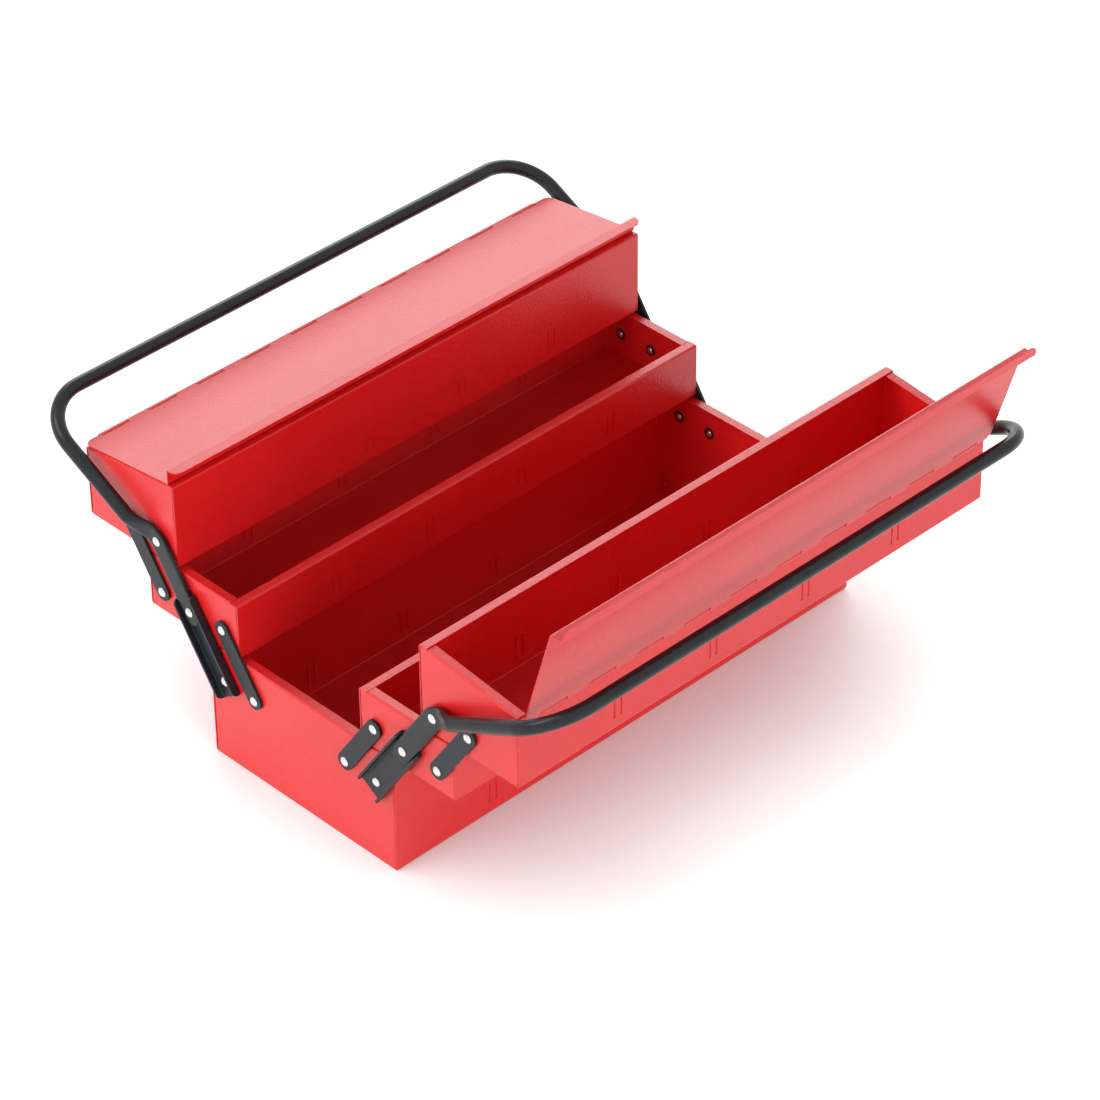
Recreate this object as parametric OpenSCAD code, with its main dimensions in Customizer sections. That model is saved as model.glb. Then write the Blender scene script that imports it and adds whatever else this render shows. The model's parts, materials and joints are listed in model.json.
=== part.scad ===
// Cantilever tool box: a bottom tray, two middle trays and two lidded top trays,
// swung apart on each side by a pair of riveted arms that end in a tube handle.
// Rest pose: both sides open, the left lid shut and the right lid thrown back.
// X runs along the box, +Y is the left side, Z is up, and the origin is the centre of the floor.

/* [Trays] */
// Length of every tray
tray_len = 530; // [420:5:640]
// Width of the bottom tray
box_w = 220; // [190:2:260]
// Height of the bottom tray
bottom_h = 112.5; // [95:0.5:140]
// Height of the middle trays
mid_h = 52.4; // [46:0.2:64]
// Height of the top trays at their inner wall
top_h_in = 80; // [72:1:96]
// Height of the end walls of the top trays at their outer wall
top_h_out = 67; // [60:0.5:71]
// Gap between a tray and the rim of the tray below
stack_gap = 2; // [1:0.25:4]
// Gap between the left and the right trays when the box is shut
centre_gap = 1.2; // [0.8:0.1:3]

/* [Sheet metal] */
// Thickness of the tray and lid sheet
sheet = 1; // [0.8:0.1:1.2]
// Outer radius of the bends in that sheet
bend_r = 2; // [1.6:0.1:2.6]
// Width of the folded rims
rim_w = 9; // [7:0.5:12]
// Width of the tabs that weld an end wall to the long walls
tab_w = 9; // [6:0.5:14]
// Gap between the rim of an end wall and the rim of a long wall
rim_gap = 0.4; // [0.2:0.1:1]

/* [Divider ribs] */
// Number of divider places along each long wall
divider_places = 4; // [2:1:6]
// Distance between the two ribs of a place
rib_pitch = 7.5; // [5:0.5:12]
// Length of a rib
rib_len = 20; // [12:1:28]
// Radius of a rib
rib_r = 1.2; // [0.5:0.1:1.3]
// Height of the ribs' lower end above the floor of their tray
rib_z = 11; // [8:0.5:16]

/* [Arms and links] */
// Lean of the arms to each side of upright, open and shut
lean = 34; // [29:0.5:37]
// Height of the pivots above the floor of a middle tray
pivot_h = 21.5; // [20:0.5:26]
// Height of the pivots above the floor of a top tray
top_pivot_h = 20.2; // [18:0.2:26]
// Distance between an arm's pivot and the pivot of the link beside it
link_pitch = 36.6; // [34:0.2:40]
// Width of a link
link_w = 16; // [14:0.5:19]
// Thickness of a link
link_t = 2.5; // [1.5:0.25:3.5]
// Outer width of the channel arm
channel_w = 26; // [24:0.5:29]
// Height of the channel's flanges
channel_h = 8; // [6:0.5:10]
// Sheet thickness of the channel
channel_t = 2; // [1.5:0.25:2.5]
// Length of the channel past each of its rivets
channel_over = 13.4; // [11:0.2:16]
// Radius of the free corners of the channel's flanges
channel_corner = 5; // [2:0.5:6]
// Gap between the end walls and the arms
arm_gap = 0.4; // [0.3:0.1:1]

/* [Handles] */
// Diameter of the handle tube
tube_d = 12.4; // [10:0.2:15]
// Distance from the top tray's rivet to the grip bar
handle_reach = 154; // [140:1:165]
// Radius of the corners of the handle, at the tube's centre
handle_bend = 44; // [30:1:50]
// Distance from the end walls to the centre of the handle's legs
handle_out = 11.5; // [10.5:0.5:16]
// Width of the flattened end of the tube
flat_w = 19; // [17:0.5:20.5]
// Thickness of the flattened end
flat_t = 3.2; // [2.4:0.2:4]
// Length of the flattened end past its lower rivet
flat_over = 12; // [10:0.5:14]
// Length over which the flat end grows into the tube
flat_run = 24; // [16:1:36]
// Gap between the two grip bars when the box is shut
grip_gap = 0.6; // [0.4:0.1:2]

/* [Rivets] */
// Diameter of the rivets
rivet_d = 5; // [4:0.25:6]
// Diameter of the rivet heads
head_d = 8.6; // [7.5:0.1:11]
// Height of the rivet heads
head_h = 2.2; // [1.4:0.1:3]
// Diameter of the rivets' closed ends inside the trays
tail_d = 6.4; // [6.2:0.1:8]
// Height of those closed ends
tail_h = 1.6; // [1:0.1:2.4]
// Diameter of the washers inside the trays
washer_d = 11; // [10:0.5:13]
// Thickness of those washers
washer_t = 0.8; // [0.5:0.1:1.2]
// Radial clearance where an arm or a link turns on a rivet
turn_gap = 0.1; // [0.05:0.01:0.2]

/* [Lids] */
// Gap between a shut lid and the rim below it
lid_gap = 0.4; // [0.3:0.1:1.5]
// Distance from the inner wall to the upright strip of a shut lid
riser_in = 6.3; // [5.5:0.1:8]
// Height of the upright strip on the left lid
riser_left = 13.4; // [12.4:0.2:18]
// Height that the right lid's strip stays below the left one's
lap_drop = 1.9; // [1.6:0.1:3]
// Width of the finger lip on top of the strip
lip_w = 11.5; // [8:0.5:12]
// Radius of the lip's corners
lip_corner = 8; // [2:0.5:10]
// Radius of the lid's corners at the hinge
lid_corner = 8; // [4:0.5:16]
// Overhang of a lid past each end wall
lid_over = 0.25; // [0:0.25:2]
// Angle that the lids swing open
lid_swing = 100; // [90:1:104]

/* [Hinges] */
// Diameter of the hinge pins
pin_d = 4.8; // [3.6:0.2:5.4]
// Radial clearance of the pin in its knuckles
pin_gap = 0.08; // [0.05:0.01:0.1]
// Number of knuckles that belong to a tray
knuckles = 10; // [6:1:12]
// Length of a tray's knuckle
knuckle_len = 28; // [20:1:30]
// Distance from a tray's ends to its first knuckle
knuckle_margin = 17.5; // [16.5:0.5:24]
// Gap between neighbouring knuckles, and between a knuckle and the sheet beside it
knuckle_gap = 0.6; // [0.4:0.1:1]
// Length that the pin stands out of the last knuckle
pin_over = 3; // [1:0.5:6]

/* [Hidden] */
$fn = 64;
eps = 0.01;
lap = 1;
seam = 0.05;
LEFT = 1;
RIGHT = -1;
NEAR = -1;
FAR = 1;

// Stack of trays and swing of the arms
half_w = (box_w - centre_gap) / 2;
mid_z = bottom_h + stack_gap;
top_z = mid_z + mid_h + stack_gap;
rise = mid_h + stack_gap + top_pivot_h - pivot_h;
link_len = rise / cos(lean);
swing = 2 * rise * tan(lean);
mid_y = centre_gap / 2 + swing;
top_y = centre_gap / 2 + 2 * swing;

// Pivots: the arm turns on the bottom tray and carries the middle and top trays
arm_z = mid_z + pivot_h - rise;
arm_y = centre_gap / 2 + swing / 2 + half_w / 2;
arm_u_mid = half_w / 2;
arm_u_top = arm_u_mid - swing / 2;

// Layers outside an end wall, counted outwards from its face
on_link = arm_gap + link_t;
on_channel = arm_gap + channel_t;
on_flat = on_channel + flat_t;
head_play = 0.1;
hole_gap = 0.03;
rivet_hole = rivet_d / 2 + hole_gap;
turn_hole = rivet_d / 2 + turn_gap;

// Handle: shut, the two grip bars lie side by side above the middle of the box
shut_y = arm_y - swing;
leg_in = asin((shut_y - (tube_d + grip_gap) / 2) / handle_reach);
kink = lean - leg_in;
flat_past = flat_w / 2;
tube_from = flat_past + flat_run;
bend_thin = 0.1;

// Rounded corners start a hair steeper than tangent
corner_ease = 0.02;

// A rib's groove is this much smaller in radius than the rib
groove_less = 0.2;

// Hinge and lid
knuckle_ri = pin_d / 2 + pin_gap;
knuckle_ro = knuckle_ri + sheet;
tray_curl = 330;
lid_curl = 240;
slope = atan((top_h_in - top_h_out) / half_w);
hinge_u = half_w - sheet + knuckle_ro;
hinge_w = top_h_in + lid_gap - (hinge_u - rim_w) * tan(slope) - (knuckle_ro - sheet) / cos(slope);
knuckle_step = (tray_len - 2 * knuckle_margin - knuckle_len) / (knuckles - 1);
notch_w = hinge_w - knuckle_ro - knuckle_gap;
lid_len = tray_len + 2 * lid_over;
riser_setback = (bend_r - sheet) * tan((90 - slope) / 2);
panel_run = (hinge_u - riser_in) / cos(slope) + knuckle_ro * tan(slope) - riser_setback;
riser_foot = hinge_w + knuckle_ro / cos(slope) + (hinge_u - riser_in) * tan(slope);

// ---------- placing ----------

// Draws on the left side, or mirrored on the right side
module on_side(side) {
    if (side == LEFT) children();
    else mirror([0, 1, 0]) children();
}

// Draws at the near end, with x counted inwards from the end wall's face, or mirrored at the far end
module at_end(end) {
    if (end == NEAR) translate([-tray_len / 2, 0, 0]) children();
    else mirror([1, 0, 0]) translate([-tray_len / 2, 0, 0]) children();
}

// Draws in a swinging tray's own frame: y outwards from its inner wall, z up from its floor
module in_mid(side) on_side(side) translate([0, mid_y, mid_z]) children();
module in_top(side) on_side(side) translate([0, top_y, top_z]) children();

// Turns a shape drawn in the x-y plane to stand in the y-z plane, extruded along x
module upright() rotate([90, 0, 90]) children();

// ---------- sheet metal ----------

// Part of a ring, from angle a0 to angle a1, at most half a turn
module ring_sector(ro, t, a0, a1) {
    far = 2 * ro;
    middle = (a0 + a1) / 2;
    intersection() {
        difference() {
            circle(r = ro);
            circle(r = ro - t);
        }
        polygon([
            [0, 0],
            [far * cos(a0), far * sin(a0)],
            [far * cos(middle), far * sin(middle)],
            [far * cos(a1), far * sin(a1)],
        ]);
    }
}

// A short core across a joint at x, in the middle of a strip's thickness, keeps its neighbours in one piece
module core(x, t) translate([x - seam, t / 3]) square([2 * seam, t / 3]);

// Cross-section of a folded strip. Each run is [flat length, turn after it]; the strip starts at the
// origin along +x with its thickness t on its left, and turns left for a positive angle.
module folded(runs, t = sheet, r = bend_r, i = 0) {
    square([runs[i][0], t]);
    if (i > 0) core(0, t);
    if (i + 1 < len(runs)) {
        turn = runs[i][1];
        core(runs[i][0], t);
        if (turn > 0) translate([runs[i][0], r]) {
            ring_sector(r, t, -90, turn - 90);
            rotate(turn) translate([0, -r]) folded(runs, t, r, i + 1);
        }
        else translate([runs[i][0], t - r]) {
            ring_sector(r, t, 90 + turn, 90);
            rotate(turn) translate([0, r - t]) folded(runs, t, r, i + 1);
        }
    }
}

// Two upright rods at each divider place, at depth y of a wall whose outer face is at y = 0
module rods(y, r) {
    for (k = [1 : divider_places], s = [-1, 1])
        translate([-tray_len / 2 + k * tray_len / (divider_places + 1) + s * rib_pitch / 2, y, rib_z])
            cylinder(r = r, h = rib_len);
}

// Pressed ribs stand out of both long walls' inner faces, and their grooves show on the outer faces
module divider_ribs(w) {
    rods(sheet, rib_r);
    translate([0, w, 0]) mirror([0, 1, 0]) rods(sheet, rib_r);
}
module divider_grooves(w) {
    rods(0, rib_r - groove_less);
    translate([0, w, 0]) mirror([0, 1, 0]) rods(0, rib_r - groove_less);
}

// Floor and long walls of an open tray, folded from one sheet, with a rim along each wall
module tray_shell(w, h) {
    difference() {
        union() {
            translate([-tray_len / 2, 0, 0]) upright() linear_extrude(tray_len)
                translate([rim_w, h]) rotate(180) folded([
                    [rim_w - bend_r, 90], [h - 2 * bend_r, 90], [w - 2 * bend_r, 90],
                    [h - 2 * bend_r, 90], [rim_w - bend_r, 0],
                ]);
            divider_ribs(w);
        }
        divider_grooves(w);
    }
}

// Floor and long walls of a top tray: a rim on the inner wall, hinge knuckles on the outer one
module top_shell() {
    difference() {
        union() {
            translate([-tray_len / 2, 0, 0]) upright() linear_extrude(tray_len)
                translate([rim_w, top_h_in]) rotate(180) folded([
                    [rim_w - bend_r, 90], [top_h_in - 2 * bend_r, 90], [half_w - 2 * bend_r, 90],
                    [notch_w - bend_r, 0],
                ]);
            divider_ribs(half_w);
            for (k = [0 : knuckles - 1]) translate([knuckle_x(k), 0, 0]) tray_knuckle();
            for (s = [0, 1]) mirror([s, 0, 0]) hinge_corner();
        }
        divider_grooves(half_w);
    }
}

// Sheet curled clockwise round a hinge pin, from an angle through a sweep, in three sectors
module curl(from, sweep) for (k = [1 : 3])
    ring_sector(knuckle_ro, sheet, from - k * sweep / 3, from - (k - 1) * sweep / 3);

// Start of the tray's knuckle number k
function knuckle_x(k) = -tray_len / 2 + knuckle_margin + k * knuckle_step;

// A knuckle of the tray: the wall runs up and curls outwards round the pin
module tray_knuckle() upright() linear_extrude(knuckle_len) {
    translate([half_w - sheet, notch_w - eps]) square([sheet, hinge_w - notch_w + eps]);
    translate([hinge_u, hinge_w]) curl(180, tray_curl);
}

// The outer wall between the end of the tray and its first knuckle reaches up to the end wall
module hinge_corner() translate([-tray_len / 2, half_w - sheet, notch_w - eps])
    cube([knuckle_margin - knuckle_gap, sheet, top_h_out - sheet - notch_w + eps]);

// An end wall: tabs along the long walls, a rim along the top and holes for the rivets.
// The top falls from h_in at y = 0 to h_out at y = w; out_rim says if the outer wall has a rim.
module end_wall(w, h_in, h_out, holes, out_rim) {
    fall = atan((h_in - h_out) / w);
    rim_from = (rim_w + rim_gap) / cos(fall);
    rim_to = (w - (out_rim ? rim_w + rim_gap : sheet + rim_gap)) / cos(fall);
    difference() {
        union() {
            difference() {
                translate([0, 0, bend_r]) linear_extrude(h_in)
                    translate([tab_w, w - sheet]) rotate(180) folded([
                        [tab_w - bend_r, 90], [w - 2 * sheet - 2 * bend_r, 90], [tab_w - bend_r, 0],
                    ]);
                translate([-tab_w, 0, h_in]) rotate([-fall, 0, 0]) translate([0, -w, -bend_r])
                    cube([3 * tab_w, 3 * w, 2 * h_in]);
            }
            translate([0, bend_r, sheet]) cube([sheet, w - 2 * bend_r, 2 * bend_r]);
            translate([0, bend_r, h_in / 2]) cube([sheet, rim_w + rim_gap - bend_r, h_in / 2 - sheet]);
            if (out_rim) translate([0, w - rim_w - rim_gap, h_in / 2])
                cube([sheet, rim_w + rim_gap - bend_r, h_in / 2 - sheet]);
            translate([0, 0, h_in]) rotate([-fall, 0, 0]) translate([0, rim_to, 0])
                rotate([90, 0, 0]) linear_extrude(rim_to - rim_from)
                    translate([rim_w, 0]) rotate(180) folded([[rim_w - bend_r, 90], [2 * bend_r, 0]]);
        }
        for (p = holes) translate([0, p[0], p[1]]) across_wall(rivet_hole);
    }
}

// A hole through an end wall
module across_wall(r) translate([-sheet, 0, 0]) rotate([0, 90, 0]) cylinder(r = r, h = 3 * sheet);

// ---------- pivots, as [y, z] in each tray's frame ----------

bottom_pivots = [[arm_y, arm_z], [arm_y - link_pitch, arm_z]];
mid_pivots = [[arm_u_mid, pivot_h], [arm_u_mid - link_pitch, pivot_h], [arm_u_mid + link_pitch, pivot_h]];
top_pivots = [[arm_u_top, top_pivot_h], [arm_u_top + link_pitch, top_pivot_h]];

// ---------- trays ----------

module bottom_tray() color("firebrick") translate([0, -box_w / 2, 0]) tray_shell(box_w, bottom_h);

module bottom_end(end) color("firebrick") at_end(end) translate([0, -box_w / 2, 0])
    end_wall(box_w, bottom_h, bottom_h,
        [for (p = bottom_pivots, s = [-1, 1]) [box_w / 2 + s * p[0], p[1]]], true);

module mid_tray(side) color("firebrick") in_mid(side) tray_shell(half_w, mid_h);

module mid_end(side, end) color("firebrick") at_end(end) in_mid(side)
    end_wall(half_w, mid_h, mid_h, mid_pivots, true);

module top_tray(side) color("firebrick") in_top(side) top_shell();

module top_end(side, end) color("firebrick") at_end(end) in_top(side)
    end_wall(half_w, top_h_in, top_h_out, top_pivots, false);

// ---------- lids ----------

// Cuts the outside of a round corner of radius r, with the corner at the origin and the sheet at +x, +y
module corner_cut(r) difference() {
    translate([-r, -r, -r]) cube([2 * r, 2 * r, 2 * r]);
    translate([r, r, -2 * r]) cylinder(r = r + corner_ease, h = 4 * r);
}

// Draws at the hinge of a shut lid: x along the pin, y outwards along the panel, z out of its face
module in_hinge() translate([0, hinge_u, hinge_w]) rotate([-slope, 0, 0]) children();

// Cross-section of a lid from its pin: x inwards along the panel, y down through it. It runs from
// the curl round the pin through the panel and the upright strip to the finger lip.
module lid_section(riser) {
    curl(-90, lid_curl);
    translate([0, -knuckle_ro]) {
        core(0, sheet);
        folded([[panel_run, slope - 90], [riser - bend_r - riser_setback, 90], [lip_w - bend_r, 0]]);
    }
}

// Cuts a lid free round the tray's knuckles and takes its curl away past the outermost ones
module hinge_cuts() {
    reach = 2 * knuckle_ro;
    for (k = [0 : knuckles - 1]) translate([knuckle_x(k) - knuckle_gap, -knuckle_ro - knuckle_gap, -reach])
        cube([knuckle_len + 2 * knuckle_gap, 2 * reach, 2 * reach]);
    for (s = [0, 1]) mirror([s, 0, 0]) translate([-lid_len / 2 - lap, 0, -reach]) {
        translate([0, -reach, 0]) cube([knuckle_margin + lid_over + lap, reach, reach]);
        translate([0, -knuckle_gap, 0]) cube([knuckle_margin + lid_over + lap, reach, 2 * reach]);
    }
}

// A lid, drawn shut
module lid(side, riser) color("red") in_top(side) difference() {
    translate([-lid_len / 2, 0, 0]) upright() linear_extrude(lid_len)
        translate([hinge_u, hinge_w]) rotate(180 - slope) lid_section(riser);
    in_hinge() hinge_cuts();
    for (s = [0, 1]) mirror([s, 0, 0]) {
        in_hinge() translate([-lid_len / 2, -knuckle_gap, 0]) mirror([0, 1, 0]) corner_cut(lid_corner);
        translate([-lid_len / 2, riser_in - lip_w, riser_foot + riser])
            corner_cut(min(lip_corner, lip_w - bend_r));
    }
}

module left_lid() lid(LEFT, riser_left);

// The right lid stands open in the rest pose
module right_lid() on_side(RIGHT) translate([0, top_y + hinge_u, top_z + hinge_w])
    rotate([-lid_swing, 0, 0]) translate([0, -top_y - hinge_u, -top_z - hinge_w])
        lid(LEFT, riser_left - lap_drop);

module hinge_pin(side) color("silver") in_top(side)
    translate([-tray_len / 2 + knuckle_margin - pin_over, hinge_u, hinge_w]) rotate([0, 90, 0])
        cylinder(d = pin_d, h = tray_len - 2 * knuckle_margin + 2 * pin_over);

// ---------- arms, links and handles ----------

// Draws in an arm's frame: z along the arm from its lower pivot, x inwards from the end wall's face
module in_arm() translate([0, arm_y, arm_z]) rotate([-lean, 0, 0]) children();

// A hole along x for a rivet that something turns on
module turn_bore() translate([-channel_h - tube_d, 0, 0]) rotate([0, 90, 0])
    cylinder(r = turn_hole, h = channel_h + 2 * tube_d);

// A link between two pivots, drawn upright from the lower one
module link() color("dimgray") difference() {
    translate([-on_link, 0, 0]) upright() linear_extrude(link_t) {
        circle(d = link_w);
        translate([-link_w / 2, 0]) square([link_w, link_len]);
        translate([0, link_len]) circle(d = link_w);
    }
    turn_bore();
    translate([0, 0, link_len]) turn_bore();
}

module inner_link(side, end) at_end(end) on_side(side)
    translate([0, -link_pitch, 0]) in_arm() link();

module outer_link(side, end) at_end(end) on_side(side)
    translate([0, swing / 2 + link_pitch, rise]) in_arm() link();

// The channel arm between the bottom tray and the middle tray, its flanges turned outwards
module channel(side, end) color("black") at_end(end) on_side(side) in_arm() difference() {
    translate([0, 0, -channel_over]) linear_extrude(link_len + 2 * channel_over)
        translate([-arm_gap - channel_h, -channel_w / 2])
            folded([[channel_h - bend_r - channel_t / 2, 90],
                    [channel_w - 2 * bend_r - channel_t, 90],
                    [channel_h - bend_r - channel_t / 2, 0]], channel_t, bend_r + channel_t / 2);
    turn_bore();
    translate([0, 0, link_len]) turn_bore();
    for (top = [0, 1]) translate([-arm_gap - channel_h, 0, top ? link_len + channel_over : -channel_over])
        mirror([0, 0, top]) flange_corner();
}

// Cuts the free corner of both flanges round, with the corner at x = 0, z = 0
module flange_corner() difference() {
    translate([-channel_corner, -channel_w, -channel_corner])
        cube([2 * channel_corner, 2 * channel_w, 2 * channel_corner]);
    translate([channel_corner, 2 * channel_w, channel_corner]) rotate([90, 0, 0])
        cylinder(r = channel_corner + corner_ease, h = 4 * channel_w);
}

// The flattened end of the tube: it lies in the channel and turns up into the leg at the top rivet
module handle_flat() difference() {
    translate([-on_flat, 0, 0]) upright() linear_extrude(flat_t) {
        translate([0, link_len - flat_over + flat_w / 2]) circle(d = flat_w);
        translate([-flat_w / 2, link_len - flat_over + flat_w / 2])
            square([flat_w, link_len + flat_over - flat_w / 2]);
        translate([0, 2 * link_len]) {
            circle(d = flat_w - bend_thin);
            rotate(-kink) translate([-flat_w / 2, 0]) square([flat_w, flat_past]);
        }
    }
    translate([0, 0, link_len]) turn_bore();
    translate([0, 0, 2 * link_len]) turn_bore();
}

// A thin slice across the leg, w wide and t thick with round edges
module leg_slice(x, z, w, t) translate([x, 0, z]) linear_extrude(eps) hull() {
    for (s = [-1, 1]) translate([0, s * (w - t) / 2]) circle(d = t, $fn = 32);
}

// One half of the handle, drawn at the near end
module half_handle() {
    handle_flat();
    translate([0, 0, 2 * link_len]) rotate([-kink, 0, 0]) {
        hull() {
            leg_slice(-on_flat + flat_t / 2, flat_past - lap, flat_w, flat_t);
            leg_slice(-handle_out, tube_from, tube_d - bend_thin, tube_d - 2 * bend_thin);
        }
        translate([-handle_out, 0, tube_from - lap])
            cylinder(d = tube_d, h = handle_reach - handle_bend - tube_from + lap);
        translate([handle_bend - handle_out, 0, handle_reach - handle_bend]) rotate([90, 0, 0])
            rotate([0, 0, 90]) rotate_extrude(angle = 90)
                translate([handle_bend, 0]) circle(d = tube_d - bend_thin);
    }
}

module handle(side) color([0.16, 0.17, 0.18]) on_side(side) {
    for (end = [NEAR, FAR]) at_end(end) in_arm() half_handle();
    in_arm() translate([0, 0, 2 * link_len]) rotate([-kink, 0, 0])
        translate([handle_bend - handle_out - tray_len / 2, 0, handle_reach]) rotate([0, 90, 0])
            cylinder(d = tube_d, h = tray_len + 2 * handle_out - 2 * handle_bend);
}

// ---------- rivets and washers ----------

// Half section of a domed cap of diameter d and height h, standing on y = 0
module cap_section(d, h) {
    r = (d * d / 4 + h * h) / (2 * h);
    intersection() {
        translate([0, h - r]) circle(r = r);
        square([d, h]);
    }
}

// A rivet on the x axis whose head sits on a stack that reaches the given distance out of the wall
module rivet(stack) rotate([0, -90, 0]) rotate_extrude() {
    inside = sheet + washer_t;
    translate([0, -inside]) square([rivet_d / 2, inside + stack + head_play + eps]);
    translate([0, stack + head_play]) cap_section(head_d, head_h);
    translate([0, -inside]) mirror([0, 1]) cap_section(tail_d, tail_h);
}

// A flat ring on the x axis, from x to x + t
module washer(x, t, d) translate([x, 0, 0]) rotate([0, 90, 0]) difference() {
    cylinder(d = d, h = t);
    translate([0, 0, -t]) cylinder(r = rivet_hole, h = 3 * t);
}

module both_ends() for (end = [NEAR, FAR]) at_end(end) children();

// What each pivot's rivet clamps: the arm at the first one, a link at the others
module rivet_row(pivots, arm_stack) for (i = [0 : len(pivots) - 1])
    translate([0, pivots[i][0], pivots[i][1]]) rivet(i == 0 ? arm_stack : on_link);

module washer_row(pivots) for (p = pivots) translate([0, p[0], p[1]]) washer(sheet, washer_t, washer_d);

module bottom_rivets() color("silver") both_ends() for (side = [LEFT, RIGHT])
    on_side(side) rivet_row(bottom_pivots, on_channel);
module bottom_washers() color("black") both_ends() for (side = [LEFT, RIGHT])
    on_side(side) washer_row(bottom_pivots);

module mid_rivets(side) color("silver") both_ends() in_mid(side) rivet_row(mid_pivots, on_flat);
module mid_washers(side) color("black") both_ends() in_mid(side) washer_row(mid_pivots);

module top_rivets(side) color("silver") both_ends() in_top(side) rivet_row(top_pivots, on_flat);
module top_washers(side) color("black") both_ends() in_top(side) washer_row(top_pivots);

// Spacers that fill the channel's thickness between the top tray and the handle
module spacers(side) color("black") both_ends() in_top(side)
    translate([0, top_pivots[0][0], top_pivots[0][1]])
        washer(-on_channel + head_play, on_channel - head_play, washer_d);

// ---------- nodes ----------

bottom_tray();
bottom_end(NEAR);  // bottom_end_near
bottom_end(FAR);  // bottom_end_far
bottom_rivets();
bottom_washers();
mid_tray(LEFT);  // left_mid_tray
mid_end(LEFT, NEAR);  // left_mid_end_near
mid_end(LEFT, FAR);  // left_mid_end_far
mid_rivets(LEFT);  // left_mid_rivets
mid_washers(LEFT);  // left_mid_washers
mid_tray(RIGHT);  // right_mid_tray
mid_end(RIGHT, NEAR);  // right_mid_end_near
mid_end(RIGHT, FAR);  // right_mid_end_far
mid_rivets(RIGHT);  // right_mid_rivets
mid_washers(RIGHT);  // right_mid_washers
top_tray(LEFT);  // left_top_tray
top_end(LEFT, NEAR);  // left_top_end_near
top_end(LEFT, FAR);  // left_top_end_far
top_rivets(LEFT);  // left_top_rivets
top_washers(LEFT);  // left_top_washers
top_tray(RIGHT);  // right_top_tray
top_end(RIGHT, NEAR);  // right_top_end_near
top_end(RIGHT, FAR);  // right_top_end_far
top_rivets(RIGHT);  // right_top_rivets
top_washers(RIGHT);  // right_top_washers
hinge_pin(LEFT);  // left_hinge_pin
hinge_pin(RIGHT);  // right_hinge_pin
left_lid();
right_lid();
channel(LEFT, NEAR);  // left_channel_near
channel(LEFT, FAR);  // left_channel_far
channel(RIGHT, NEAR);  // right_channel_near
channel(RIGHT, FAR);  // right_channel_far
handle(LEFT);  // left_handle
handle(RIGHT);  // right_handle
spacers(LEFT);  // left_spacers
spacers(RIGHT);  // right_spacers
inner_link(LEFT, NEAR);  // left_inner_link_near
inner_link(LEFT, FAR);  // left_inner_link_far
inner_link(RIGHT, NEAR);  // right_inner_link_near
inner_link(RIGHT, FAR);  // right_inner_link_far
outer_link(LEFT, NEAR);  // left_outer_link_near
outer_link(LEFT, FAR);  // left_outer_link_far
outer_link(RIGHT, NEAR);  // right_outer_link_near
outer_link(RIGHT, FAR);  // right_outer_link_far
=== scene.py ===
# %% [markdown]
# # A cantilever tool box, swung open
#
# The real box is folded from 1 mm steel sheet: one deep bottom tray, two shallow middle trays and two top
# trays with lids. Black arms and links are riveted to the end walls and carry the trays outwards on both sides,
# and a bent tube handle ends each pair of arms. The sheet is powder coated in a bright red with a fine texture.
#
# The measured solids arrive as a frame of named pieces, grouped into bodies that move together. This lesson
# keeps the pieces whose shape is already right, replaces the ones where light shows every facet, and gives each
# of them a procedural material. Everything is in metres, in the frame of the solids: X runs along the box, +Y is
# the side whose lid is shut, Z is up.

# %% Load the solids
import json
import math

import bmesh
import bpy
import numpy as np
from mathutils import Matrix, Vector


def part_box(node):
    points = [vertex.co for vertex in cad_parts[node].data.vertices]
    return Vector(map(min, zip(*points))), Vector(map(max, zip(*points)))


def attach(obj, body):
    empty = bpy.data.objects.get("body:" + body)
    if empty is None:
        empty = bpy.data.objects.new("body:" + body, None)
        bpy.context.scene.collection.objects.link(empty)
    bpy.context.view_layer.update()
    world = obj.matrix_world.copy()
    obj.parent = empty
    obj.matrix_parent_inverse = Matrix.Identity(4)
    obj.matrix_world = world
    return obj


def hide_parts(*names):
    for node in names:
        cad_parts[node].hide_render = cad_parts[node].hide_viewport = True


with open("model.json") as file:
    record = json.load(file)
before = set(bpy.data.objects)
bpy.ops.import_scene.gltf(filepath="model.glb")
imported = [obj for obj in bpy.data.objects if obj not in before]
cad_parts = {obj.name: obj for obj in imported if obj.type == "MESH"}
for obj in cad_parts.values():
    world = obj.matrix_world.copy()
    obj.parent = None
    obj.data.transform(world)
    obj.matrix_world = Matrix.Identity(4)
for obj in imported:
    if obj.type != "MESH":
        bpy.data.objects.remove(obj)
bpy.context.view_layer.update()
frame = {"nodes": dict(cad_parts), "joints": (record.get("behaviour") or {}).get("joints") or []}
nodes, joints = frame["nodes"], {j["name"]: j for j in frame["joints"]}

# %% [markdown]
# ## Sizes
#
# The sizes that are needed again are read from the solids where they can be: pivots come from the joints, and the
# trays' ends from the bottom tray's box. The arms lean as far outwards now as they lean inwards when the box is
# shut, so their lean is half of their swing. Only the thickness of the sheet is written down here.

# %% Sizes of the box, in metres
MM = 0.001
sheet = 1 * MM
tray_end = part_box("bottom_tray")[1][0]
pivot = {name: np.array(j["pos_m"]) for name, j in joints.items()}
lean = math.radians(joints["left_fold"]["range_deg"][1] / 2)
arm_pitch = float(np.linalg.norm(pivot["left_mid_pivot"] - pivot["left_fold"]))
print(f"trays {2 * tray_end / MM:.0f} mm long")
print(f"rivets {arm_pitch / MM:.2f} mm apart on the arms, which lean {math.degrees(lean):.0f} degrees")

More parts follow.
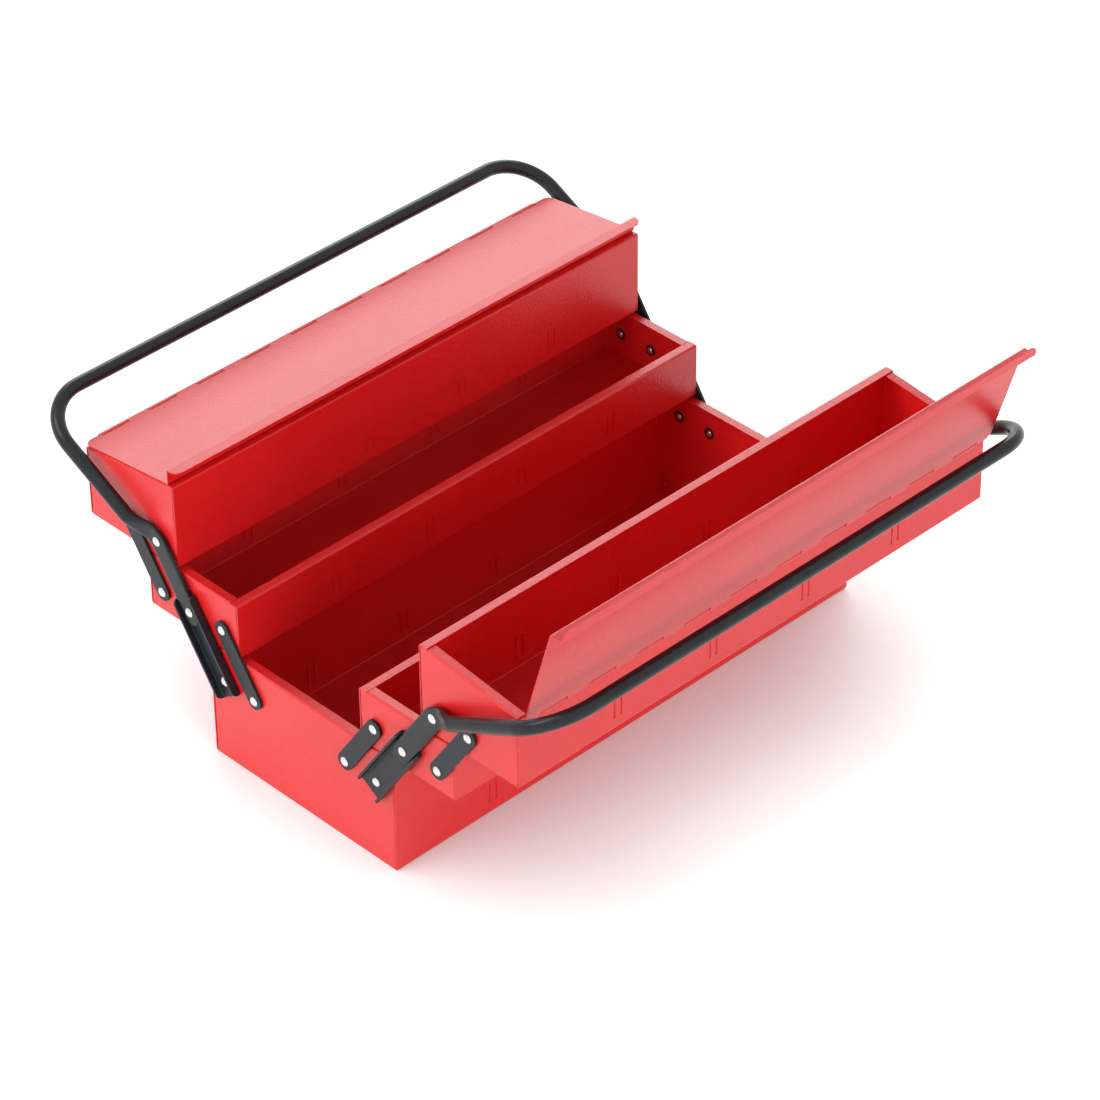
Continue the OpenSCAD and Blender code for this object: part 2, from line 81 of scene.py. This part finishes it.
# %% [markdown]
# ## Camera
#
# The photograph was taken from high up at the near end, from far away with a long lens, so parallel edges stay
# nearly parallel. The camera's place and turn were found by fitting the ends of tray edges and the rivets. The
# turn is a rotation vector: its direction is the axis and its length the angle. The rows of its matrix are the
# picture's directions right, down and forward in the frame of the solids. The place is kept as the camera sees it:
# how far right, down and forward the middle of the near end's foot lies.

# %% Camera
def turned(vector):
    """Rotation matrix of a rotation vector: Rodrigues' formula, I + sin(a) K + (1 - cos(a)) K K."""
    a = np.linalg.norm(vector)
    x, y, z = vector / a
    k = np.array([[0, -z, y], [z, 0, -x], [-y, x, 0]])
    return np.eye(3) + math.sin(a) * k + (1 - math.cos(a)) * k @ k


photo_size = 1100
focal, axis_x, axis_y = 4616.78, 544.95, 547.54
film_width = 36
right, down, forward = turned(np.array([2.0723, -0.8523, 0.416]))
near_end_seen = np.array([-194.8695, 213.0964, 3761.9689]) * MM
eye = -(near_end_seen @ np.array([right, down, forward])) - np.array([tray_end, 0, 0])
camera = bpy.data.objects.new("camera", bpy.data.cameras.new("camera"))
bpy.context.scene.collection.objects.link(camera)
turn = np.eye(4)
turn[:3, 0], turn[:3, 1], turn[:3, 2], turn[:3, 3] = right, -down, -forward, eye
camera.matrix_world = Matrix(turn.tolist())
camera.data.sensor_width = film_width
camera.data.lens = focal / photo_size * film_width
camera.data.shift_x = (photo_size / 2 - axis_x) / photo_size
camera.data.shift_y = (axis_y - photo_size / 2) / photo_size
camera.data.clip_end = 50
bpy.context.scene.camera = camera
print("camera at", np.round(eye, 3), "lens", round(camera.data.lens, 1), "mm")

# %% [markdown]
# ## Surfaces from arrays
#
# A tube and a turned head are both rings of points, one ring after another. Such a surface is a grid: its rows are
# the rings and its columns run round them. The faces are worked out as whole arrays from the grid's shape, and each
# row closes on itself.

# %% A mesh from rings of points
def ring_faces(rows, columns):
    """Corner numbers of the quads between rows of points: each point, its neighbour, and those of the next row."""
    this = np.arange(rows - 1)[:, None] * columns
    c = np.arange(columns)[None, :]
    beside = (c + 1) % columns
    return np.stack([this + c, this + beside, this + columns + beside, this + columns + c], -1).reshape(-1, 4)


def make_piece(name, points, faces, body, material, smooth):
    """A mesh object from points (n x 3) and quads, smooth except along edges sharper than smooth degrees."""
    mesh = bpy.data.meshes.new(name)
    mesh.from_pydata(points.reshape(-1, 3).tolist(), [], faces.tolist())
    mesh.validate()
    piece = bpy.data.objects.new(name, mesh)
    bpy.context.scene.collection.objects.link(piece)
    mesh.materials.append(material)
    mesh.shade_smooth()
    mesh.set_sharp_from_angle(angle=math.radians(smooth))
    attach(piece, body)
    return piece


def faces_outwards(points, faces):
    """Turns all quads over if the closed surface's volume is negative: the sum of its faces' wedges to the origin."""
    p = points.reshape(-1, 3)
    a, b, c, d = (p[faces[:, i]] for i in range(4))
    volume = (np.cross(b - a, c - a) * a).sum() + (np.cross(c - a, d - a) * a).sum()
    return faces if volume > 0 else faces[:, ::-1]


print("3 rings of 4 points have", len(ring_faces(3, 4)), "quads between them")

# %% [markdown]
# ## Finishes
#
# Powder coat is sprayed as dry powder and melts into a film that keeps a fine orange-peel texture, about 2 mm from
# crest to crest. One noise gives that texture to the normals and to the roughness. The film is plastic over metal,
# so the shader is a plain dielectric one under a thin satin coat. The edge softening comes from a Bevel node, which
# rounds the normals near an edge without touching the mesh: folded sheet never has a knife edge, and a bright line
# along an edge is what makes a box look like painted steel.

# %% Material helpers
def node_tree(name):
    """A new material with an empty Principled shader: returns the material, its nodes, links and shader."""
    material = bpy.data.materials.new(name)
    material.use_nodes = True
    tree = material.node_tree
    return material, tree.nodes, tree.links, tree.nodes["Principled BSDF"]


def noise(n, link, scale, detail=3.0, roughness=0.5):
    """Noise over Object coordinates, in cycles per metre."""
    where = n.new("ShaderNodeTexCoord")
    texture = n.new("ShaderNodeTexNoise")
    texture.inputs["Scale"].default_value = scale
    texture.inputs["Detail"].default_value = detail
    texture.inputs["Roughness"].default_value = roughness
    link.new(where.outputs["Object"], texture.inputs["Vector"])
    return texture


def spread(n, link, source, low_value, high_value, from_low=0.3, from_high=0.7):
    """Maps a value between from_low and from_high to low_value to high_value, ending level outside them."""
    ramp = n.new("ShaderNodeMapRange")
    ramp.inputs["From Min"].default_value = from_low
    ramp.inputs["From Max"].default_value = from_high
    ramp.inputs["To Min"].default_value = low_value
    ramp.inputs["To Max"].default_value = high_value
    link.new(source, ramp.inputs["Value"])
    return ramp.outputs["Result"]


def tinted(n, link, source, dark, light, ends=(0.3, 0.7)):
    """Blends two colours by a value: dark up to the first end, light from the second."""
    ramp = n.new("ShaderNodeValToRGB")
    ramp.color_ramp.elements[0].position, ramp.color_ramp.elements[1].position = ends
    ramp.color_ramp.elements[0].color = (*dark, 1)
    ramp.color_ramp.elements[1].color = (*light, 1)
    link.new(source, ramp.inputs["Fac"])
    return ramp.outputs["Color"]


def textured_normal(n, link, shader, height, distance, strength=1.0, edge=0.6 * MM):
    """Bump over a softened edge: the Bevel node's normal goes through a Bump node to the shader."""
    soft = n.new("ShaderNodeBevel")
    soft.samples = 4
    soft.inputs["Radius"].default_value = edge
    bump = n.new("ShaderNodeBump")
    bump.inputs["Strength"].default_value = strength
    bump.inputs["Distance"].default_value = distance
    link.new(height, bump.inputs["Height"])
    link.new(soft.outputs["Normal"], bump.inputs["Normal"])
    link.new(bump.outputs["Normal"], shader.inputs["Normal"])


# %% Red powder coat
def powder_coat(name, dark, light):
    """Satin powder coat: fine texture in the normal and roughness, slow variation in colour."""
    material, n, link, shader = node_tree(name)
    peel = noise(n, link, 480, 2.0, 0.6)
    slow = noise(n, link, 14, 2.0)
    link.new(tinted(n, link, slow.outputs["Fac"], dark, light), shader.inputs["Base Color"])
    link.new(spread(n, link, peel.outputs["Fac"], 0.30, 0.46), shader.inputs["Roughness"])
    shader.inputs["IOR"].default_value = 1.5
    shader.inputs["Coat Weight"].default_value = 0.3
    shader.inputs["Coat Roughness"].default_value = 0.3
    textured_normal(n, link, shader, peel.outputs["Fac"], 0.5 * MM, 0.8)
    return material


red_coat = powder_coat("red_powder_coat", (0.74, 0.012, 0.014), (0.78, 0.016, 0.018))
print("powder coat ready")

# %% [markdown]
# The arms and links are stamped from thicker sheet and sprayed black. The paint is thin, slightly blue and uneven
# in gloss, and it mirrors less than the powder coat, so its index of refraction is lower. The handle tube is
# smoother and glossier. The rivets and hinge pins are zinc-plated steel.

# %% Black paint, zinc and washers
def black_paint(name, dark, light, rough_low, rough_high, grain):
    """Sprayed black paint: colour and roughness follow one noise, and a finer one roughens the normals."""
    material, n, link, shader = node_tree(name)
    mist = noise(n, link, 60, 4.0)
    fine = noise(n, link, grain, 2.0)
    link.new(tinted(n, link, mist.outputs["Fac"], dark, light), shader.inputs["Base Color"])
    link.new(spread(n, link, mist.outputs["Fac"], rough_low, rough_high), shader.inputs["Roughness"])
    shader.inputs["IOR"].default_value = 1.38
    textured_normal(n, link, shader, fine.outputs["Fac"], 0.03 * MM, 0.4, 0.4 * MM)
    return material


def plated(name, dark, light, rough_low, rough_high):
    """Zinc-plated steel: a metal whose grey and roughness vary in small patches."""
    material, n, link, shader = node_tree(name)
    patch = noise(n, link, 700, 3.0)
    link.new(tinted(n, link, patch.outputs["Fac"], dark, light), shader.inputs["Base Color"])
    link.new(spread(n, link, patch.outputs["Fac"], rough_low, rough_high), shader.inputs["Roughness"])
    shader.inputs["Metallic"].default_value = 1
    textured_normal(n, link, shader, patch.outputs["Fac"], 0.01 * MM, 0.3, 0.2 * MM)
    return material


link_paint = black_paint("link_paint", (0.011, 0.014, 0.017), (0.018, 0.022, 0.026), 0.34, 0.46, 1500)
tube_paint = black_paint("tube_paint", (0.008, 0.010, 0.012), (0.014, 0.017, 0.020), 0.20, 0.28, 1200)
# The washers' black is partly painted shade: it gives the dark ring round each rivet tail inside the trays.
washer_black_and_shade = black_paint("washer_black_and_shade", (0.012, 0.012, 0.013), (0.022, 0.022, 0.024), 0.5, 0.6, 2000)
bright_zinc = plated("bright_zinc", (0.72, 0.72, 0.71), (0.86, 0.86, 0.85), 0.22, 0.34)
print("four more finishes")

# %% [markdown]
# Each solid gets the finish of what it is. Names say what a solid is, so a short table of words is enough.

# %% Finishes for the solids
# Washers and spacers take the black that partly stands for painted shade round the rivet tails.
finish_of = {"link": link_paint, "channel": link_paint, "handle": tube_paint, "rivets": bright_zinc,
             "hinge_pin": bright_zinc, "washers": washer_black_and_shade, "spacers": washer_black_and_shade}
for name, solid in nodes.items():
    word = next((w for w in finish_of if w in name), None)
    solid.data.materials.clear()
    solid.data.materials.append(finish_of[word] if word else red_coat)
print("finishes:", {m.name: sum(m.name in s.data.materials for s in nodes.values()) for m in bpy.data.materials})

# %% [markdown]
# ## Handles
#
# Each handle is one steel tube. Its ends are pressed flat where they are riveted into the arms, the legs turn
# outwards just past the top rivet, and two wide bends lead into the grip bar. A path with a changing
# cross-section describes all of it: the section is a superellipse that goes from a flat strip to a circle, and
# the path is a chain of straight lines and arcs. Only the near half is worked out. The far half is its mirror.

# %% Sizes of a handle
tube_r, leg_out = 6.2 * MM, 11.5 * MM        # radius of the tube, its middle's distance outside the end wall
grip_reach, grip_bend = 154 * MM, 44 * MM    # from the top rivet to the middle of the bar, radius of the bends
flat_half, flat_thick = 9.5 * MM, 1.6 * MM   # half the width and half the thickness of the flat end
flat_out, flat_over = 4 * MM, 12 * MM        # its middle's distance outside the end wall, its end past a rivet
flat_run, flat_lead = 24 * MM, 1 * MM        # length of the change from flat to round, how early it starts
elbow, straight = 11 * MM, 4 * MM            # radius of the elbow, fine steps kept up past the change
half_gap = 0.3 * MM                          # half the gap between the two bars when the box is shut
swing = 2 * arm_pitch * math.sin(lean)
kink = lean - math.asin((pivot["left_fold"][1] - swing - tube_r - half_gap) / grip_reach)
print(f"legs turn {math.degrees(kink):.1f} degrees outwards at the top rivets")

# %% [markdown]
# The path is first worked out flat, in the plane in which the arm swings: up the leaning arm, round a small elbow
# just past the top rivet, and along the leg. At the leg's end the path turns out of that plane, through a quarter
# circle, into the bar. So every point has a place in the plane, a distance outside the end wall, the angle of its
# leg from upright, how far it has turned towards the bar, and how round its section is.

# %% Path of half a handle
def ease(t):
    """Smooth step: 3 t^2 - 2 t^3, level at both ends."""
    t = np.clip(t, 0, 1)
    return t * t * (3 - 2 * t)


def half_path():
    """Place in the swing plane, distance outwards, angle from upright, turn towards the bar, and roundness; also
    the distances along the arm of the rounded tip's points."""
    cut = elbow * math.tan(kink / 2)
    tip = arm_pitch - flat_over + flat_half * (1 - np.cos(np.linspace(0.02, math.pi / 2, 12)))
    along = np.concatenate([tip, np.linspace(tip[-1], 2 * arm_pitch - cut, 8)[1:]])
    arm = along[:, None] * np.array([math.sin(lean), math.cos(lean)])
    turned_to = lean + np.linspace(0, kink, 9)[1:]
    centre = arm[-1] + elbow * np.array([math.cos(lean), -math.sin(lean)])
    bow = centre - elbow * np.stack([np.cos(turned_to), -np.sin(turned_to)], -1)
    leg_angle = lean + kink
    leg_dir = np.array([math.sin(leg_angle), math.cos(leg_angle)])
    top = 2 * arm_pitch * np.array([math.sin(lean), math.cos(lean)])
    round_from = flat_half + flat_run + straight
    reach = np.concatenate([np.linspace(cut, round_from, 30)[1:],
                            np.linspace(round_from, grip_reach - grip_bend, 8)[1:]])
    leg = top + reach[:, None] * leg_dir
    arc = np.linspace(0, math.pi / 2, 25)[1:]
    corner = top + (grip_reach - grip_bend + grip_bend * np.sin(arc))[:, None] * leg_dir
    bar = np.linspace(-tray_end - leg_out + grip_bend, 0, 10)[1:]
    plane = np.concatenate([arm, bow, leg, corner, np.repeat(corner[-1:], len(bar), 0)])
    grown = ease((reach - flat_half + flat_lead) / flat_run)
    flat, tube = len(arm) + len(bow), len(corner) + len(bar)
    out = np.concatenate([np.full(flat, flat_out), flat_out + (leg_out - flat_out) * grown,
                          leg_out - grip_bend * (1 - np.cos(arc)), -tray_end - bar])
    angle = np.concatenate([np.full(len(arm), lean), turned_to, np.full(len(leg) + tube, leg_angle)])
    bent = np.concatenate([np.zeros(flat + len(leg)), arc, np.full(len(bar), math.pi / 2)])
    roundness = np.concatenate([np.zeros(flat), grown, np.ones(tube)])
    return plane, out, angle, bent, roundness, tip


def half_handle(side):
    """Centre, wide and thin directions, half-width, half-thickness and roundness along half a handle. The tip is
    rounded: its half-width is that of a circle, the root of r^2 - (r - x)^2 at x from its end."""
    plane, out, angle, bent, roundness, tip = half_path()
    points = np.stack([-tray_end - out, plane[:, 0], plane[:, 1]], -1) + pivot["left_fold"]
    across, forth = np.sin(angle), np.cos(angle)
    wide = np.stack([np.zeros_like(angle), forth, -across], -1)
    thin = np.stack([-np.cos(bent), np.sin(bent) * across, np.sin(bent) * forth], -1)
    half = flat_half + (tube_r - flat_half) * roundness
    from_end = tip - (arm_pitch - flat_over)
    half[:len(tip)] = np.sqrt(flat_half ** 2 - (flat_half - from_end) ** 2)
    thick = flat_thick + (tube_r - flat_thick) * roundness
    flip = np.array([1, side, 1])
    return points * flip, wide * flip, thin * flip, half, thick, roundness


print("half a handle has", len(half_path()[0]), "rings")

# %% [markdown]
# A superellipse is a circle whose corners can be filled out until it is almost a rectangle, which is how a tube
# looks when its end is pressed flat.

# %% Rings along the path
def superellipse(points, wide, thin, half, thick, roundness, columns=40):
    """Rings |x/a|^m + |y/b|^m = 1 round each point; m falls from 6 (flat) to 2 (round) with the roundness."""
    t = (np.arange(columns) + 0.5) / columns * 2 * math.pi
    power = (1 / 3 + 2 / 3 * roundness)[:, None]
    x = np.sign(np.cos(t)) * np.abs(np.cos(t)) ** power * half[:, None]
    y = np.sign(np.sin(t)) * np.abs(np.sin(t)) ** power * thick[:, None]
    return points[:, None] + x[..., None] * wide[:, None] + y[..., None] * thin[:, None]


def ring_cap(first, columns):
    """Quads that close a ring of points numbered from first: each pair of columns joins its mirror pair."""
    i = np.arange(columns // 2 - 1)
    return first + np.stack([i, i + 1, columns - 2 - i, columns - 1 - i], -1)


print("an end cap has", len(ring_cap(0, 40)), "quads")

# %% Both handles
for side, word in ((1, "left"), (-1, "right")):
    near = superellipse(*half_handle(side))
    far = near[-2::-1] * np.array([-1, 1, 1])
    rings = np.concatenate([near, far])
    rows, columns = rings.shape[:2]
    quads = np.concatenate([ring_faces(rows, columns),
                            ring_cap(0, columns)[:, ::-1], ring_cap((rows - 1) * columns, columns)])
    handle = make_piece(word + "_bent_tube", rings, faces_outwards(rings, quads), word + "_arm",
                        tube_paint, 50)
    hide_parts(word + "_handle")
    print(word, "handle:", len(quads), "quads")

# %% [markdown]
# ## Rivets
#
# A rivet head catches a round highlight, so it is turned on a lathe: its half section is carried round the
# rivet's axis. The head is a cap of a sphere with a small flat land at its edge, and the closed end inside the
# tray is lower and flatter. A rivet's head stands off the end wall by what it holds: a link, a channel, or a
# channel with the flat end of the handle in it.

# %% Turned rivets
head_r, head_h, head_land = 4.3 * MM, 2.2 * MM, 0.4 * MM
tail_r, tail_h, tail_land = 3.2 * MM, 1.6 * MM, 0.3 * MM
shank_r, washer_t, head_play = 2.5 * MM, 0.8 * MM, 0.1 * MM


def lathe(profile, centre, columns=28):
    """Carries a profile of (radius, x) round an axis along X through centre: y = r cos t, z = r sin t."""
    t = np.arange(columns) / columns * 2 * math.pi
    r, x = profile[:, 0, None], profile[:, 1, None]
    return np.stack([x + 0 * t, r * np.cos(t), r * np.sin(t)], -1) + centre


def dome(radius, height, land, steps=7):
    """Half section of a cap, from its rim to its pole: a land, then an arc of a circle. Columns: radius, height."""
    curve = (radius ** 2 + (height - land) ** 2) / (2 * (height - land))
    a = np.linspace(math.asin(radius / curve), 0, steps)
    arc = np.stack([curve * np.sin(a), land + curve * (np.cos(a) - np.cos(a[0]))], -1)
    return np.concatenate([[[radius - 0.15 * MM, 0], [radius, 0.1 * MM]], arc])


def rivet_rings(where, stack):
    """A rivet whose head stands on a stack outside an end wall at -X; the wall's outer face is at where[0]."""
    head, tail = dome(head_r, head_h, head_land), dome(tail_r, tail_h, tail_land)
    outer, inner = -stack - head_play, sheet + washer_t
    outline = np.concatenate([head[::-1] * [1, -1] + [0, outer],
                              [[shank_r, outer], [shank_r, inner]], tail + [0, inner]])
    return lathe(outline, where)


def weld(mesh):
    """Merges points that lie on each other, which closes the poles."""
    b = bmesh.new()
    b.from_mesh(mesh)
    bmesh.ops.remove_doubles(b, verts=b.verts, dist=1e-7)
    b.to_mesh(mesh)
    b.free()


def join_rings(pieces):
    """Points and quads of many sets of rings of one shape, side by side in one mesh."""
    points = np.stack(pieces)
    count, rows, columns = points.shape[:3]
    first = np.arange(count)[:, None, None] * rows * columns
    return points, (ring_faces(rows, columns) + first).reshape(-1, 4)


print("a rivet has", len(rivet_rings(pivot["left_fold"], 0)), "rings")

# %% Rivets of each tray
link_pitch = pivot["left_fold"][1] - pivot["left_inner_link_pivot"][1]
on_link, on_channel, on_flat = 2.9 * MM, 2.4 * MM, 5.6 * MM
spots = {"bottom": [(pivot["left_fold"], on_channel), (pivot["left_inner_link_pivot"], on_link)]}
spots["bottom"] += [(p * [1, -1, 1], s) for p, s in spots["bottom"]]
for side, word in ((1, "left"), (-1, "right")):
    step = np.array([0, side * link_pitch, 0])
    mid, top = pivot[word + "_mid_pivot"], pivot[word + "_top_pivot"]
    spots[word + "_mid"] = [(mid, on_flat), (mid - step, on_link), (mid + step, on_link)]
    spots[word + "_top"] = [(top, on_flat), (top + step, on_link)]
for group, places in spots.items():
    near = [rivet_rings(p + [-tray_end, 0, 0], stack) for p, stack in places]
    far = [g * np.array([-1, 1, 1]) for g in near]
    points, quads = join_rings(near)
    every = np.concatenate([points, np.stack(far)]).reshape(-1, 3)
    quads = faces_outwards(points, quads)
    both = np.concatenate([quads, quads[:, ::-1] + points.size // 3])
    body = "base" if group == "bottom" else group
    rivets = make_piece(group + "_turned_rivets", every, both, body, bright_zinc, 40)
    weld(rivets.data)
    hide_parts(group + "_rivets")
    print(group, "rivets:", len(places) * 2)

# %% [markdown]
# ## Floor and light
#
# The photograph is a plain product picture: white all round, soft light from above and a soft shadow under the
# box. Satin paint mirrors that white room faintly, which is what turns the outsides pink while the insides,
# where one red wall mirrors another, stay deep red. So the room looks white to the camera and to gloss, through
# the Light Path node, while its light on the object stays at a plain level. The floor looks like pale paper with a
# glow added. The paper keeps the shadow of the lamps, and the glow fades close to the box.

# %% Floor
def looked_at(n, link):
    """1 for rays from the camera, from gloss or through glass, 0 for the rays of diffuse light."""
    path = n.new("ShaderNodeLightPath")
    total = path.outputs["Is Camera Ray"]
    for other in ("Is Glossy Ray", "Is Transmission Ray"):
        larger = n.new("ShaderNodeMath")
        larger.operation = "MAXIMUM"
        link.new(total, larger.inputs[0])
        link.new(path.outputs[other], larger.inputs[1])
        total = larger.outputs["Value"]
    return total


def backdrop(reach, under, albedo, paper, glow, near, shade):
    """A square floor of half-width reach, a little under the box. Diffuse rays meet a plain albedo. Looked at, it
    is paper, lit by the lamps, with a glow added: the glow fades to shade where things closer than near hide the
    room from the floor, which gives the soft shadow close to the box."""
    mesh = bpy.data.meshes.new("floor")
    corners = reach * np.array([[-1, -1, 0], [1, -1, 0], [1, 1, 0], [-1, 1, 0]]) - [0, 0, under]
    mesh.from_pydata(corners.tolist(), [], [(0, 1, 2, 3)])
    floor = bpy.data.objects.new("floor", mesh)
    bpy.context.scene.collection.objects.link(floor)
    material, n, link, shader = node_tree("floor_white")
    shader.inputs["Roughness"].default_value = 1
    shader.inputs["Specular IOR Level"].default_value = 0
    seen = looked_at(n, link)
    link.new(spread(n, link, seen, albedo, paper, 0, 1), shader.inputs["Base Color"])
    link.new(spread(n, link, seen, 0, glow, 0, 1), shader.inputs["Emission Strength"])
    open_room = n.new("ShaderNodeAmbientOcclusion")
    open_room.samples = 16
    open_room.inputs["Distance"].default_value = near
    glow_colour = tinted(n, link, open_room.outputs["AO"], shade, (1, 1, 1), (0.08, 0.8))
    link.new(glow_colour, shader.inputs["Emission Color"])
    mesh.materials.append(material)


# The glow's fade is a painted contact shadow, and its reddish shade is painted red light thrown from the box.
backdrop(reach=12.0, under=0.4 * MM, albedo=0.75, paper=0.42, glow=0.9, near=220 * MM, shade=(0.2, 0.02, 0.02))
print("floor made")

# %% [markdown]
# The lamps are large, far and soft. Each was rendered alone, and the mix that came closest to the photograph gave
# their first powers, which were then adjusted. The front and side lamps stand low, so they are hidden from
# gloss: otherwise a lid that is seen from a low angle mirrors them as a white glare.

# %% Light
def studio(horizon, zenith, low_sky=10, high_sky=60):
    """A white room: strength 1 where it is looked at or mirrored. Its diffuse light goes from the horizon's
    strength at low_sky degrees to the zenith's at high_sky, evenly with the sine of the height."""
    world = bpy.data.worlds.new("studio")
    bpy.context.scene.world = world
    world.use_nodes = True
    n, link = world.node_tree.nodes, world.node_tree.links
    direction = n.new("ShaderNodeTexCoord")
    split = n.new("ShaderNodeSeparateXYZ")
    link.new(direction.outputs["Generated"], split.inputs["Vector"])
    low, high = (math.sin(math.radians(a)) for a in (low_sky, high_sky))
    sky = spread(n, link, split.outputs["Z"], horizon, zenith, low, high)
    strength = n.new("ShaderNodeMapRange")
    strength.inputs["To Max"].default_value = 1.0
    link.new(looked_at(n, link), strength.inputs["Value"])
    link.new(sky, strength.inputs["To Min"])
    n["Background"].inputs["Color"].default_value = (1, 1, 1, 1)
    link.new(strength.outputs["Result"], n["Background"].inputs["Strength"])


def softbox(name, place, target, size, power, mirrored):
    """A square area lamp at a place, facing a target. Only a mirrored one shows in gloss."""
    lamp = bpy.data.lights.new(name, "AREA")
    lamp.shape, lamp.size, lamp.energy = "SQUARE", size, power
    holder = bpy.data.objects.new(name, lamp)
    holder.location = place
    holder.visible_glossy = mirrored
    away = Vector(np.array(place) - np.array(target))
    holder.rotation_euler = away.to_track_quat("Z", "Y").to_euler()
    bpy.context.scene.collection.objects.link(holder)


middle = (0, 0, 0.15)
studio(horizon=0.7, zenith=0.15)
softbox("key", (-3.0, 2.4, 4.8), middle, 3.2, 95, True)
softbox("front", (-6.0, 0.8, 1.8), middle, 3.2, 180, False)
softbox("back", (5.8, 6.6, 4.8), middle, 6.0, 330, True)
softbox("side", (-1.2, -6.0, 1.8), middle, 3.2, 170, False)
bpy.context.scene.view_settings.view_transform = "Standard"
print("a white room and four softboxes")
